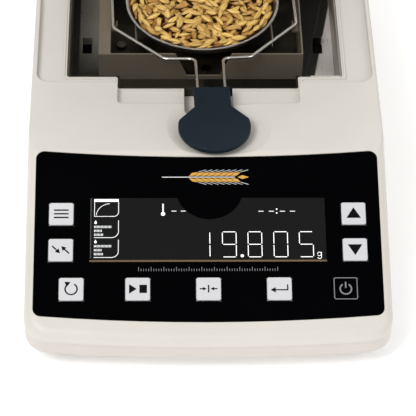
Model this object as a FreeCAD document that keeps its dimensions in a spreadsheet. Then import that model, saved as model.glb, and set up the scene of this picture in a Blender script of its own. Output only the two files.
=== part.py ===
"""Grain moisture meter: a halogen moisture balance as a parametric FreeCAD document, in millimetres.

Every sub-part is drawn in one of five frames, and its Placement puts it into the object's frame:
  body    y = 0 at the corners of the display panel's top edge, z = 0 on the table
  panel   lies in the sloping panel: x right, y up the slope, z out of the panel
  hood    origin on the hinge axis, drawn with the hood closed
  pan     origin on the table under the middle of the pan
  lifter  the pan frame, turned a little, as the lifter lies
"""
import FreeCAD, Part
import math
import os
import re
import Sketcher

os.makedirs("parts", exist_ok=True)
doc = FreeCAD.newDocument("grain_moisture_meter")
Vector = FreeCAD.Vector

DIMENSIONS = {
    # casing
    "half_width": 107.5,
    "front": -116.5,
    "rear": 242,
    "underside": 12.5,
    "parting": 23.2,
    "deck": 70.4,
    "wall": 2.5,
    "plan_corner": 16,
    "front_bow": 1050,
    "tilt": 19.82,
    "panel_origin": 70,
    "skin": 0.4,
    "frame_shift": 89.6,
    # display panel, along the slope
    "panel_half": 102.2,
    "panel_length": 107.2,
    "panel_bow": 1200,
    "panel_thick": 1.2,
    "window_half": 69.6,
    "window_top": 31.5,
    "window_foot": 73,
    "key_half": 7.2,
    "key_corner": 0.9,
    "key_rise": 0.6,
    "key_neck": 1.2,
    "key_gap": 0.4,
    "row_line": 90.5,
    "row_near": 41.3,
    "row_far": 80,
    "side_column": 86.5,
    "side_upper": 42.1,
    "side_lower": 65.5,
    "board_top": -8.4,
    # hood seat and chamber
    "seat_half": 104.5,
    "seat_front": 62,
    "seat_rear": 238,
    "seat_floor": 66.4,
    "nose_left": -54.2,
    "nose_right": 58.2,
    "nose_front": 42,
    "well_half": 86,
    "well_front": 71,
    "well_nose": 60,
    "well_rear": 217,
    "steel": 1,
    "tub_floor": 40,
    "neck_left": -13,
    "neck_right": 17,
    "neck_front": 34,
    "neck_floor": 60,
    "shield_left": -60.4,
    "shield_right": 63.4,
    "shield_flange": 6.5,
    "shield_front": 100,
    "shield_rear": 213,
    "shield_top": 60,
    "chamber_floor": 27,
    # pan and lifter
    "pan_line": 156.5,
    "pan_radius": 50,
    "pan_base": 51,
    "pan_rim": 58,
    "foil": 0.6,
    "wire": 1,
    "handle_foot": 72.6,
    "handle_thick": 3.4,
    "handle_radius": 22,
    "handle_line": -140.5,
    "neck_half": 11.25,
    "flare_line": -134.6,
    "lifter_turn": 2,
    # hood
    "hinge_line": 226,
    "hinge_level": 88,
    "open_angle": 85,
    "hood_half": 103.7,
    "hood_front": -163.2,
    "hood_rear": 9,
    "hood_foot": -21,
    "hood_top": 70,
    "hood_nose_left": -53.4,
    "hood_nose_right": 57.4,
    "hood_nose": -183.2,
    "hood_nose_top": 20,
    "hood_wall": 2.4,
    "lamp_line": -69.5,
    "pin_radius": 2.5,
    "pin_play": 0.05,
    "arm_line": 84,
    # feet
    "foot_side": 85,
    "foot_front": -85,
    "foot_rear": 205,
    "foot_radius": 11,
}

sheet = doc.addObject("Spreadsheet::Sheet", "dims")
for row, (alias, amount) in enumerate(DIMENSIONS.items(), start=1):
    sheet.set(f"A{row}", alias)
    sheet.set(f"B{row}", str(amount))
    sheet.setAlias(f"B{row}", alias)
doc.recompute()

ALONG = {
    "x": FreeCAD.Rotation(Vector(0, 1, 0), 90),
    "y": FreeCAD.Rotation(Vector(1, 0, 0), -90),
    "z": FreeCAD.Rotation(),
}
FRAMES = {
    "body": (("0", "-frame_shift", "0"), (0, 0, 1), "0"),
    "panel": (("0", "-frame_shift", "panel_origin"), (1, 0, 0), "tilt"),
    "hood": (("0", "hinge_line - frame_shift", "hinge_level"), (1, 0, 0), "-open_angle"),
    "pan": (("0", "pan_line - frame_shift", "0"), (0, 0, 1), "0"),
    "lifter": (("0", "pan_line - frame_shift", "0"), (0, 0, 1), "lifter_turn"),
}
subparts = []


# ---------------------------------------------------------------- helpers

def formula(text):
    """Turn the dimension names in a formula into references to the sheet."""
    return re.sub(r"[a-z_]+", lambda word: f"dims.{word.group()}" if word.group() in DIMENSIONS
                  else word.group(), str(text))


def bind(item, **formulas):
    for name, text in formulas.items():
        item.setExpression(name, formula(text))


def locate(item, point):
    for axis, text in zip("xyz", point):
        item.setExpression(f"Placement.Base.{axis}", formula(text))


def block(x, y, z):
    """A box between two faces along each axis: x, y and z are (low, high) pairs."""
    item = doc.addObject("Part::Box", "block")
    bind(item, Length=f"({x[1]}) - ({x[0]})", Width=f"({y[1]}) - ({y[0]})", Height=f"({z[1]}) - ({z[0]})")
    locate(item, (x[0], y[0], z[0]))
    return item


def rod(radius, start, length, along="z"):
    item = doc.addObject("Part::Cylinder", "rod")
    item.Placement.Rotation = ALONG[along]
    bind(item, Radius=radius, Height=length)
    locate(item, start)
    return item


def cone(foot_radius, top_radius, start, height):
    item = doc.addObject("Part::Cone", "cone")
    bind(item, Radius1=foot_radius, Radius2=top_radius, Height=height)
    locate(item, start)
    return item


def ball(radius, centre):
    item = doc.addObject("Part::Sphere", "ball")
    bind(item, Radius=radius)
    locate(item, centre)
    return item


def fuse(*items):
    if len(items) == 1:
        return items[0]
    item = doc.addObject("Part::MultiFuse", "fuse")
    item.Shapes = list(items)
    return item


def group(*items):
    """Separate solids that share one sub-part."""
    item = doc.addObject("Part::Compound", "group")
    item.Links = list(items)
    return item


def cut(base, *tools):
    item = doc.addObject("Part::Cut", "cut")
    item.Base = base
    item.Tool = fuse(*tools)
    return item


def common(base, tool):
    item = doc.addObject("Part::Common", "common")
    item.Base = base
    item.Tool = tool
    return item


def upright(edge):
    return isinstance(edge.Curve, Part.Line) and abs(edge.tangentAt(edge.FirstParameter).z) > 0.99


def rounded(item, radius, choose=upright):
    """Fillet the edges that choose picks."""
    doc.recompute()
    item_fillet = doc.addObject("Part::Fillet", "rounded")
    item_fillet.Base = item
    item_fillet.Edges = [(number, radius, radius) for number, edge in enumerate(item.Shape.Edges, start=1)
                         if choose(edge)]
    return item_fillet


def body_sketch(name, outline, plane="XY_Plane"):
    """A PartDesign body with one closed sketch, each corner held by two dimensions from the sheet."""
    body = doc.addObject("PartDesign::Body", name + "_body")
    sketch = body.newObject("Sketcher::SketchObject", name + "_outline")
    support = [item for item in body.Origin.OriginFeatures if item.Role == plane][0]
    sketch.AttachmentSupport = [(support, "")]
    sketch.MapMode = "FlatFace"
    draw_outline(sketch, outline)
    return body, sketch


def draw_outline(sketch, outline):
    corners = [tuple(worth(text) for text in corner) for corner in outline]
    count = len(corners)
    start = sketch.GeometryCount
    for here in range(count):
        line = Part.LineSegment(Vector(*corners[here], 0), Vector(*corners[(here + 1) % count], 0))
        sketch.addGeometry(line)
    for here in range(count):
        link = Sketcher.Constraint("Coincident", start + here, 2, start + (here + 1) % count, 1)
        sketch.addConstraint(link)
    for here in range(count):
        for kind, side in (("DistanceX", 0), ("DistanceY", 1)):
            rule = Sketcher.Constraint(kind, -1, 1, start + here, 1, corners[here][side])
            number = sketch.addConstraint(rule)
            sketch.setExpression(f"Constraints[{number}]", formula(outline[here][side]))


def worth(text):
    """The number that a formula gives, for the first drawing of a sketch."""
    gauge = doc.getObject("gauge") or doc.addObject("App::FeaturePython", "gauge")
    if "reading" not in gauge.PropertiesList:
        gauge.addProperty("App::PropertyFloat", "reading")
    gauge.setExpression("reading", formula(text))
    gauge.recompute()
    return gauge.reading


def pad(name, outline, thickness, plane="XY_Plane", reverse=False):
    body, sketch = body_sketch(name, outline, plane)
    feature = body.newObject("PartDesign::Pad", name + "_pad")
    feature.Profile = sketch
    feature.Reversed = reverse
    bind(feature, Length=thickness)
    return body


def turned(name, outline):
    """A body of revolution: the outline's x is the radius and its y the height."""
    body, sketch = body_sketch(name, outline, "XZ_Plane")
    feature = body.newObject("PartDesign::Revolution", name + "_turn")
    feature.Profile = sketch
    feature.ReferenceAxis = (sketch, ["V_Axis"])
    feature.Angle = 360
    return body


def bent_wire(points, bend, radius):
    """A round wire through the points, bent to the same radius at each inner corner."""
    points = [Vector(*point) for point in points]
    edges = []
    here = points[0]
    for before, corner, after in zip(points, points[1:], points[2:]):
        back = (before - corner).normalize()
        ahead = (after - corner).normalize()
        half = back.getAngle(ahead) / 2
        reach = bend / math.tan(half)
        start = corner + back * reach
        end = corner + ahead * reach
        middle = (back + ahead).normalize()
        crown = corner + middle * (bend / math.sin(half) - bend)
        edges.append(Part.makeLine(here, start))
        edges.append(Part.Arc(start, crown, end).toShape())
        here = end
    edges.append(Part.makeLine(here, points[-1]))
    section = Part.Wire(Part.makeCircle(radius, points[0], points[1] - points[0]))
    tube = Part.Wire(edges).makePipeShell([section], True, True)
    item = doc.addObject("Part::Feature", "wire")
    item.Shape = tube
    return item


def subpart(label, item, frame="body"):
    """Name a finished sub-part and put its frame where it belongs."""
    if item.TypeId in ("Part::Box", "Part::Cylinder", "Part::Cone", "Part::Sphere"):
        item = group(item)
    item.Label = label
    point, axis, angle = FRAMES[frame]
    item.Placement = FreeCAD.Placement(Vector(), FreeCAD.Rotation(Vector(*axis), 1))
    item.setExpression("Placement.Rotation.Angle", formula(angle))
    locate(item, point)
    subparts.append(item)
    return item


def panel_tool(item):
    """A tool drawn in the panel's frame, for cutting a casing that is drawn in the body's frame."""
    holder = group(item)
    holder.Placement = FreeCAD.Placement(Vector(), FreeCAD.Rotation(Vector(1, 0, 0), DIMENSIONS["tilt"]))
    locate(holder, ("0", "0", "panel_origin"))
    return holder


# ---------------------------------------------------------------- casing

def casing_blank(inset, low, high):
    """The casing's outline, drawn in by inset, between two levels and under the sloping front."""
    side = f"half_width - {inset}"
    outline = common(block((f"-({side})", side), (f"front + {inset}", f"rear - {inset}"), (low, high)),
                     rod(f"front_bow - {inset}", ("0", "front + front_bow", low), f"{high} - ({low})"))
    corners = rounded(outline, DIMENSIONS["plan_corner"] - inset)
    above = block(("-150", "150"), ("-200", "120"), (f"skin - {inset}", "100"))
    return cut(corners, panel_tool(above))


SCREWS = [(side, line) for side in ("-98", "98") for line in ("52", "150")]


def stepped(wide, nose, z):
    """Two blocks that make the T-shaped outline of the hood seat and the well."""
    return fuse(block(wide[0], wide[1], z), block(nose[0], nose[1], z))


def panel_outline(margin, z):
    """The panel's bowed outline, drawn in by margin."""
    side = f"panel_half - {margin}"
    band = block((f"-({side})", side), ("-panel_length - 10", "10"), z)
    centre = "panel_bow - panel_length - panel_half * panel_half / panel_bow / 2"
    height = f"{z[1]} - ({z[0]})"
    lower = rod(f"panel_bow - {margin}", ("0", centre, z[0]), height)
    upper = rod(f"panel_bow + {margin}", ("0", f"{centre} + panel_length", z[0]), height)
    return rounded(cut(common(band, lower), upper), 5 - margin)


KEYS = {
    "key_reset": ("-row_far", "row_line"),
    "key_start_stop": ("-row_near", "row_line"),
    "key_tare": ("0", "row_line"),
    "key_enter": ("row_near", "row_line"),
    "key_power": ("row_far", "row_line"),
    "key_menu": ("-side_column", "side_upper"),
    "key_arrows": ("-side_column", "side_lower"),
    "key_up": ("side_column", "side_upper"),
    "key_down": ("side_column", "side_lower"),
}


def square(centre, half, z):
    column, line = centre
    return block((f"{column} - ({half})", f"{column} + {half}"),
                 (f"-{line} - ({half})", f"-{line} + {half}"), z)


def key_holes(z):
    return [square(centre, "key_half + key_gap", z) for centre in KEYS.values()]


def well(inset, z):
    """The well's outline, drawn in by inset."""
    return rounded(stepped(((f"{inset} - well_half", f"well_half - {inset}"),
                            (f"well_front + {inset}", f"well_rear - {inset}")),
                           ((f"nose_left + {inset}", f"nose_right - {inset}"),
                            (f"well_nose + {inset}", "well_front + 8")), z), 1.8 - max(inset, 0))


def seat(z):
    """The hood's seat: generous corners on the deck, tight ones on the nose."""
    blank = stepped((("-seat_half", "seat_half"), ("seat_front", "seat_rear")),
                    (("nose_left", "nose_right"), ("nose_front", "seat_front + 15")), z)
    nose_reach = DIMENSIONS["nose_right"] + 1
    nose = rounded(blank, 3, lambda edge: edge.BoundBox.ZLength > 1 and abs(edge.BoundBox.XMin) < nose_reach)
    return rounded(nose, 8, lambda edge: edge.BoundBox.ZLength > 1 and abs(edge.BoundBox.XMin) > nose_reach
                   and edge.BoundBox.XLength < 0.01 and edge.BoundBox.YLength < 0.01)


def rear_ports():
    return [block(("71", "99"), ("rear - 5", "rear + 5"), ("17", "38")),
            block(("-98", "-66"), ("rear - 5", "rear + 5"), ("19", "32")),
            block(("-56", "-43"), ("rear - 5", "rear + 5"), ("19", "31"))]


def upper_housing():
    outer = casing_blank(0, "parting", "deck")
    lip = DIMENSIONS["front"]
    nose = rounded(outer, 7, lambda edge: edge.BoundBox.YMax < lip + 6 and edge.BoundBox.ZMin > 26
                   and edge.BoundBox.XLength > 100)
    rim = rounded(nose, 2, lambda edge: edge.BoundBox.ZMin > DIMENSIONS["deck"] - 0.05
                  and edge.BoundBox.YMax > 20)
    hollow = casing_blank(DIMENSIONS["wall"], "parting - 5", "deck - wall")
    shelf = block(("wall - half_width", "half_width - wall"), ("38", "rear - wall"),
                  ("seat_floor - 3", "deck - wall"))
    trough = block(("neck_left - 3", "neck_right + 3"), ("neck_front - 3", "well_nose"),
                   ("neck_floor - 3", "deck - wall"))
    dish_pad = block(("-30", "46"), ("2", "40"), ("deck - 7.5", "deck - wall"))
    solid = fuse(cut(rim, hollow), shelf, trough, dish_pad)
    bosses = [rod("4.5", (side, line, "parting"), "seat_floor - 3 - parting") for side, line in SCREWS]
    panel_pocket = panel_tool(panel_outline(0, ("-panel_thick", "5")))
    apertures = [panel_tool(hole) for hole in key_holes(("-20", "5"))]
    lcd_hole = panel_tool(block(("-window_half - 3", "window_half + 3"),
                                ("-window_foot - 3", "3 - window_top"), ("-20", "5")))
    neck = rounded(block(("neck_left", "neck_right"), ("neck_front", "well_nose + 8"),
                         ("neck_floor", "80")), 3)
    dish = ball("160", ("8", "22", "deck + 160 - 3.2"))
    slots = [block((f"{left}", f"{left} + 2.5"), ("rear - 5", "rear + 5"), ("44", "58"))
             for left in range(-60, 64, 8)]
    pilots = [rod("1.5", (side, line, "parting - 1"), "12") for side, line in SCREWS]
    housing = cut(fuse(solid, *bosses), seat(("seat_floor", "90")), well(0, ("20", "90")), neck, dish,
                  panel_pocket, lcd_hole, *apertures, *rear_ports(), *slots, *pilots)
    bead = cut(well(-2.6, ("seat_floor - 0.1", "seat_floor + 0.5")), well(-1.2, ("seat_floor - 1", "90")),
               block(("neck_left - 2", "neck_right + 2"), ("neck_front", "well_front"), ("20", "90")))
    subpart("upper_housing", fuse(housing, bead))


def base_tray():
    outer = casing_blank(0.3, "underside", "parting")
    chamfered = rounded(outer, 2.5, lambda edge: edge.BoundBox.ZMax < DIMENSIONS["underside"] + 0.05)
    hollow = casing_blank(DIMENSIONS["wall"] + 0.3, "underside + 2.5", "parting + 5")
    bosses = [rod("4.5", (side, line, "underside + 1"), "parting - underside - 1") for side, line in SCREWS]
    holes = [rod("1.7", (side, line, "underside - 1"), "20") for side, line in SCREWS]
    sinks = [rod("3.6", (side, line, "underside - 1"), "4") for side, line in SCREWS]
    foot_blocks = [rod("7", (side, "foot_rear", "underside + 1"), "parting - underside - 4")
                   for side in ("-foot_side", "foot_side")]
    foot_holes = [rod("3.2", (side, "foot_rear", "underside - 1"), "20")
                  for side in ("-foot_side", "foot_side")]
    pads = [rod("9", (side, "foot_front", "underside - 1"), "2")
            for side in ("-foot_side", "foot_side")]
    vents = [block((f"{left}", f"{left} + 3"), ("-40", "20"), ("underside - 1", "underside + 4"))
             for left in range(-40, 44, 8)]
    tray = cut(fuse(cut(chamfered, hollow), *bosses, *foot_blocks), *holes, *sinks, *foot_holes,
               *pads, *vents, *rear_ports())
    subpart("base_tray", tray)


def casing_screws():
    screws = [fuse(rod("3", (side, line, "underside + 1.2"), "1.8"),
                   rod("1.5", (side, line, "underside + 3"), "18")) for side, line in SCREWS]
    subpart("casing_screws", group(*screws))


# ---------------------------------------------------------------- display panel and keys

def display_panel():
    sheet_blank = panel_outline(0.1, ("-panel_thick", "0"))
    window = block(("-window_half", "window_half"), ("-window_foot", "-window_top"), ("-3", "2"))
    subpart("display_panel", cut(sheet_blank, window, *key_holes(("-3", "2"))), "panel")
    pane = rounded(block(("0.05 - window_half", "window_half - 0.05"),
                         ("0.05 - window_foot", "-window_top - 0.05"), ("-panel_thick", "0")), 0.6)
    subpart("display_window", pane, "panel")


def lcd_module():
    layers = [block((f"-window_half - {margin}", f"window_half + {margin}"),
                    (f"-window_foot - {margin}", f"{margin} - window_top"), z)
              for margin, z in ((1, ("-5", "-1.5")), (2, ("-8", "-5")))]
    subpart("lcd_module", fuse(*layers), "panel")


def display_board():
    board = block(("-96", "96"), ("-101", "-24"), ("board_top - 1.6", "board_top"))
    subpart("display_board", board, "panel")
    switches = [fuse(square(centre, "3", ("board_top", "board_top + 1.6")),
                     rod("1.5", (centre[0], f"-{centre[1]}", "board_top"), "2.4"))
                for centre in KEYS.values()]
    subpart("key_switches", group(*switches), "panel")


def keys():
    key_top = DIMENSIONS["key_rise"] + DIMENSIONS["key_neck"]
    for name, centre in KEYS.items():
        column, line = centre
        full, short = "key_half", "(key_half - key_corner)"
        steps = [("-", full, "-", short), ("-", short, "-", full), ("+", short, "-", full),
                 ("+", full, "-", short), ("+", full, "+", short), ("+", short, "+", full),
                 ("-", short, "+", full), ("-", full, "+", short)]
        corners = [(f"{column} {h} {across}", f"-{line} {v} {along}") for h, across, v, along in steps]
        cap = pad(name, corners, "key_rise + key_neck")
        cap.setExpression("Placement.Base.z", formula("-key_neck"))
        doc.recompute()
        slab = cap.Tip
        chosen = [f"Edge{number}" for number, edge in enumerate(slab.Shape.Edges, start=1)
                  if edge.BoundBox.ZMin > key_top - 0.05]
        soften = cap.newObject("PartDesign::Fillet", name + "_fillet")
        soften.Base = (slab, chosen)
        soften.Radius = 0.4
        skirt = square(centre, "key_half", ("-3", "0.01 - key_neck"))
        flange = square(centre, "key_half + 1.4", ("-4.2", "-2.7"))
        stem = rod("2", (column, f"-{line}", "-5.3"), "1.5")
        subpart(name, fuse(cap, skirt, flange, stem), "panel")


# ---------------------------------------------------------------- chamber

FLOOR_SCREWS = [("-53", "146.6"), ("2.4", "122.8"), ("2", "196")]


def chamber_tub():
    outer = well(0.3, ("tub_floor - steel", "seat_floor - 0.2"))
    inner = well(1.3, ("tub_floor", "seat_floor + 2"))
    gap = block(("shield_left - 0.1", "shield_right + 0.1"), ("shield_front - 1.2", "shield_rear + 0.1"),
                ("20", "50"))
    slots = [block((f"{side} - 3", f"{side} + 3"), ("124", "144"), ("30", "50")) for side in (-75, 75)]
    tabs = [block((f"{side} - 3", f"{side} + 3"), ("134", "135"), ("tub_floor - steel", "tub_floor + 5"))
            for side in (-75, 75)]
    strips = [block((f"{side} - 3", f"{side} + 3"), ("135", "144"), ("tub_floor - steel", "tub_floor"))
              for side in (-75, 75)]
    subpart("chamber_tub", fuse(cut(outer, inner, gap, *slots), *tabs, *strips))


def draught_shield():
    """The steel box round the pan: notched front plate, side hooks and a folded-out left edge."""
    box_wall = cut(block(("shield_left", "shield_right"), ("shield_front", "shield_rear"),
                         ("chamber_floor - steel", "shield_top")),
                   block(("shield_left + steel", "shield_right - steel"),
                         ("shield_front + steel", "shield_rear - steel"), ("chamber_floor", "90")))
    flange = block(("shield_left - shield_flange", "shield_left + steel"), ("shield_front", "shield_rear"),
                   ("shield_top - steel", "shield_top"))
    stiffener = block(("shield_left - shield_flange", "shield_left"),
                      ("shield_front", "shield_front + steel"), ("tub_floor + 0.6", "shield_top"))
    notch = [("-18.4", "shield_top + 1"), ("-10.6", "42"), ("10.6", "42"), ("18.4", "shield_top + 1")]
    front_notch = pad("notch", notch, "20", "XZ_Plane")
    front_notch.setExpression("Placement.Base.y", formula("shield_front + 10"))
    stem_hole = rod("7", ("0", "pan_line", "20"), "20")
    sides = [("shield_left + steel", "shield_left + 5"), ("shield_right - 5", "shield_right - steel")]
    posts = [block((low, high), ("shield_front + steel", "shield_front + 3"), ("chamber_floor", "56"))
             for low, high in sides]
    hooks = [fuse(block(reach, ("138", "144"), ("46", "47.5")), block((end, f"{end} + 1"), ("138", "144"),
                                                                      ("46", "51")))
             for reach, end in zip(sides, ("shield_left + 4", "shield_right - 5"))]
    screw_holes = [rod("1.5", (side, line, "20"), "10") for side, line in FLOOR_SCREWS]
    subpart("draught_shield", cut(fuse(box_wall, flange, stiffener, *posts, *hooks), front_notch, stem_hole,
                                  *screw_holes))


def chamber_screws():
    screws = [fuse(rod("3.2", (side, line, "chamber_floor"), "1.6"), rod("1.4", (side, line, "24.6"), "2.9"))
              for side, line in FLOOR_SCREWS]
    subpart("chamber_screws", group(*screws))


def weighing_cell():
    subpart("load_cell", cut(rounded(block(("-10", "10"), ("120", "178"), ("16.4", "24.2")), 1.5),
                             rod("2.6", ("-15", "142", "20.3"), "30", "x"),
                             rod("2.6", ("-15", "150", "20.3"), "30", "x"),
                             block(("-15", "15"), ("142", "150"), ("19.3", "21.3"))))
    subpart("cell_bracket", block(("-16", "16"), ("116", "134"), ("underside + 2.5", "16.4")))
    arm = "38"
    cross = fuse(block((f"-{arm}", arm), ("-2", "2"), ("pan_base - 2.3", "pan_base - 0.4")),
                 block(("-2", "2"), (f"-{arm}", arm), ("pan_base - 2.3", "pan_base - 0.4")),
                 rod("8", ("0", "0", "pan_base - 2.8"), "2.4"))
    stem = fuse(rod("2.8", ("0", "0", "25"), "pan_base - 26"), rod("5.5", ("0", "0", "38"), "3"))
    subpart("pan_support", fuse(cross, stem), "pan")


def sample_pan():
    outline = [("0", "pan_base"), ("45.4", "pan_base"), ("49", "pan_rim - foil"),
               ("pan_radius", "pan_rim - foil"), ("pan_radius", "pan_rim"), ("48.6", "pan_rim"),
               ("45", "pan_base + foil"), ("0", "pan_base + foil")]
    subpart("sample_pan", turned("pan", outline), "pan")
    fill = cone("44.3", "47.5", ("0", "0", "pan_base + 1.1"), "5.4")
    crown = common(ball("280", ("0", "0", "pan_rim + 1.2 - 280")),
                   rod("47.4", ("0", "0", "pan_rim - 0.8"), "6"))
    subpart("grain_sample", fuse(fill, crown), "pan")


# ---------------------------------------------------------------- pan lifter

def lifter():
    roots = [(-7.9, -66, 64.5), (9.6, -66, 64.5)]
    tails = [(-8.4, -112, 74.2), (8.4, -112, 74.2)]
    ring = [tails[0], roots[0], (-27.4, -64, 63.4), (-59, -32, 63), (-59, 30, 63), (-36, 53, 63),
            (36, 53, 63), (59, 30, 63), (59, -32, 63), (27.4, -64, 63.4), roots[1], tails[1]]
    cradles = [[(side, -47.2, 63), (side, -41, 49.2), (side, 37, 49.2), (side, 45, 63)] for side in (-44, 44)]
    radius = DIMENSIONS["wire"]
    wires = [bent_wire(ring, 5, radius)] + [bent_wire(route, 2.5, radius) for route in cradles]
    subpart("lifter_wire", fuse(*wires), "lifter")
    flare = "sqrt(handle_radius * handle_radius - (flare_line - handle_line) * (flare_line - handle_line))"
    outline = [("-neck_half", "-105.5"), ("-neck_half", "-123"), (f"-{flare}", "flare_line"),
               (flare, "flare_line"), ("neck_half", "-123"), ("neck_half", "-105.5")]
    neck = pad("neck", outline, "handle_thick")
    neck.setExpression("Placement.Base.z", formula("handle_foot"))
    disc = common(rod("handle_radius", ("0", "handle_line", "handle_foot"), "handle_thick"),
                  block(("-40", "40"), ("-180", "flare_line"), ("60", "90")))
    paddle = rounded(fuse(neck, disc), 0.8, lambda edge: edge.BoundBox.ZLength < 0.1)
    grips = [block((f"{middle} - 1", f"{middle} + 1"), ("handle_line + 2", "handle_line + 2.8"),
                   ("handle_foot + handle_thick - 0.1", "handle_foot + handle_thick + 0.15"))
             for middle in (-6.8, -3.4, 0, 3.4, 6.8)]
    bores = [bent_wire([(tail[0], tail[1] - 2, 74.62), root], 5, radius + 0.06)
             for tail, root in zip(tails, roots)]
    subpart("lifter_handle", cut(fuse(paddle, *grips), *bores), "lifter")


# ---------------------------------------------------------------- electronics

def electronics():
    board = block(("-88", "88"), ("-92", "52"), ("17", "18.6"))
    chips = [block((f"{left}", f"{left} + 14"), ("-20", "-6"), ("18.6", "20.6")) for left in (-60, -20, 20)]
    relay = block(("50", "78"), ("20", "36"), ("18.6", "36"))
    posts = [rod("3", (side, line, "underside + 2.5"), "2")
             for side in ("-82", "82") for line in ("-80", "46")]
    subpart("main_board", fuse(board, *chips, relay, *posts))
    supply = block(("-92", "-66"), ("128", "194"), ("17", "18.6"))
    transformer = block(("-90", "-68"), ("134", "160"), ("18.6", "37"))
    capacitor = rod("5", ("-78", "174", "18.6"), "16")
    supply_posts = [rod("2.5", ("-80", line, "underside + 2.5"), "2") for line in ("131", "190")]
    subpart("power_supply_board", fuse(supply, transformer, capacitor, *supply_posts))
    socket = rounded(block(("72", "98"), ("rear - 24", "rear"), ("18", "37")), 3,
                     lambda edge: edge.BoundBox.YLength > 20)
    cavity = block(("74.5", "95.5"), ("rear - 17", "rear + 2"), ("20.2", "34.8"))
    plate = block(("70", "100"), ("rear", "rear + 1.3"), ("16", "39"))
    blades = [block((f"{side} - 1", f"{side} + 1"), ("rear - 18", "rear - 4"), (low, f"{low} + 4"))
              for side, low in (("79", "25"), ("91", "25"), ("85", "28"))]
    subpart("mains_inlet", fuse(cut(fuse(socket, plate), cavity), *blades))
    shell = cut(block(("-97", "-67"), ("rear - 12", "rear + 4"), ("19.6", "31.4")),
                block(("-95.6", "-68.4"), ("rear - 4", "rear + 6"), ("21", "30")))
    pins = [rod("0.5", (f"{-93 + 2.75 * step}", "rear - 5", "24"), "6", "y") for step in range(9)]
    subpart("serial_port", fuse(shell, *pins))
    usb = cut(block(("-55.5", "-43.5"), ("rear - 14", "rear + 1"), ("19.4", "30.6")),
              block(("-54", "-45"), ("rear - 8", "rear + 3"), ("21", "29")))
    tongue = block(("-52", "-47"), ("rear - 9", "rear - 1"), ("23.5", "26.5"))
    subpart("usb_port", fuse(usb, tongue))
    subpart("bubble_level", cut(rod("8", ("0", "228", "seat_floor"), "5"),
                                rod("6", ("0", "228", "seat_floor + 4.4"), "2")))
    subpart("hood_sensor", block(("92", "99"), ("80", "96"), ("seat_floor - 9", "seat_floor - 3")))


# ---------------------------------------------------------------- feet

def feet():
    for side_name, side in (("left", "-foot_side"), ("right", "foot_side")):
        fixed = turned(f"fixed_{side_name}", [("0", "0"), ("foot_radius - 1", "0"), ("foot_radius", "1"),
                                              ("foot_radius - 1.5", "underside - 0.1"),
                                              ("8.8", "underside - 0.1"), ("8.8", "underside + 0.9"),
                                              ("0", "underside + 0.9")])
        fixed.setExpression("Placement.Base.x", formula(side))
        fixed.setExpression("Placement.Base.y", formula("foot_front"))
        subpart(f"front_foot_{side_name}", group(fixed))
        flutes = [rod("0.9", (f"{side} + {11.3 * math.cos(turn):.4f}",
                              f"foot_rear + {11.3 * math.sin(turn):.4f}", "6"), "8")
                  for turn in [math.radians(20 * step) for step in range(18)]]
        wheel = cut(rod("foot_radius", (side, "foot_rear", "7.2"), "5"), *flutes,
                    rod("3.6", (side, "foot_rear", "6"), "2.4"))
        stud = rod("2.9", (side, "foot_rear", "8.4"), "13")
        subpart(f"foot_wheel_{side_name}", fuse(wheel, stud))
        rubber = turned(f"rubber_{side_name}", [("0", "0"), ("9.4", "0"), ("10", "0.8"), ("9.4", "6.6"),
                                                ("3.2", "6.6"), ("3.2", "7.9"), ("0", "7.9")])
        rubber.setExpression("Placement.Base.x", formula(side))
        rubber.setExpression("Placement.Base.y", formula("foot_rear"))
        subpart(f"rear_foot_{side_name}", group(rubber))


# ---------------------------------------------------------------- hood and hinge

def hood_blank(inset):
    """The hood's outer form, drawn in by inset; the inner one runs out through the open bottom."""
    low = "hood_foot" if inset == 0 else "hood_foot - 5"
    dome = block((f"{inset} - hood_half", f"hood_half - {inset}"),
                 (f"hood_front + {inset}", f"hood_rear - {inset}"), (low, f"hood_top - {inset}"))
    slant = block(("-150", "150"), ("-40", "0"), ("0", "120"))
    leaning = group(slant)
    leaning.Placement = FreeCAD.Placement(Vector(), FreeCAD.Rotation(Vector(1, 0, 0), -22))
    locate(leaning, ("0", f"hood_front + {inset}", "4"))
    sloped = cut(dome, leaning)
    soft = rounded(sloped, 12 - inset, upright)
    crown = rounded(soft, 10 - inset, lambda edge: edge.BoundBox.ZMin > DIMENSIONS["hood_top"] - inset - 0.05)
    nose = block((f"hood_nose_left + {inset}", f"hood_nose_right - {inset}"),
                 (f"hood_nose + {inset}", "hood_front + 30"), (low, f"hood_nose_top - {inset}"))
    nose_soft = rounded(nose, 8 - inset, lambda edge: edge.BoundBox.YMax < DIMENSIONS["hood_nose"] + inset + 1
                        and (upright(edge) or edge.BoundBox.ZMin > 10))
    return fuse(crown, nose_soft)


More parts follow.
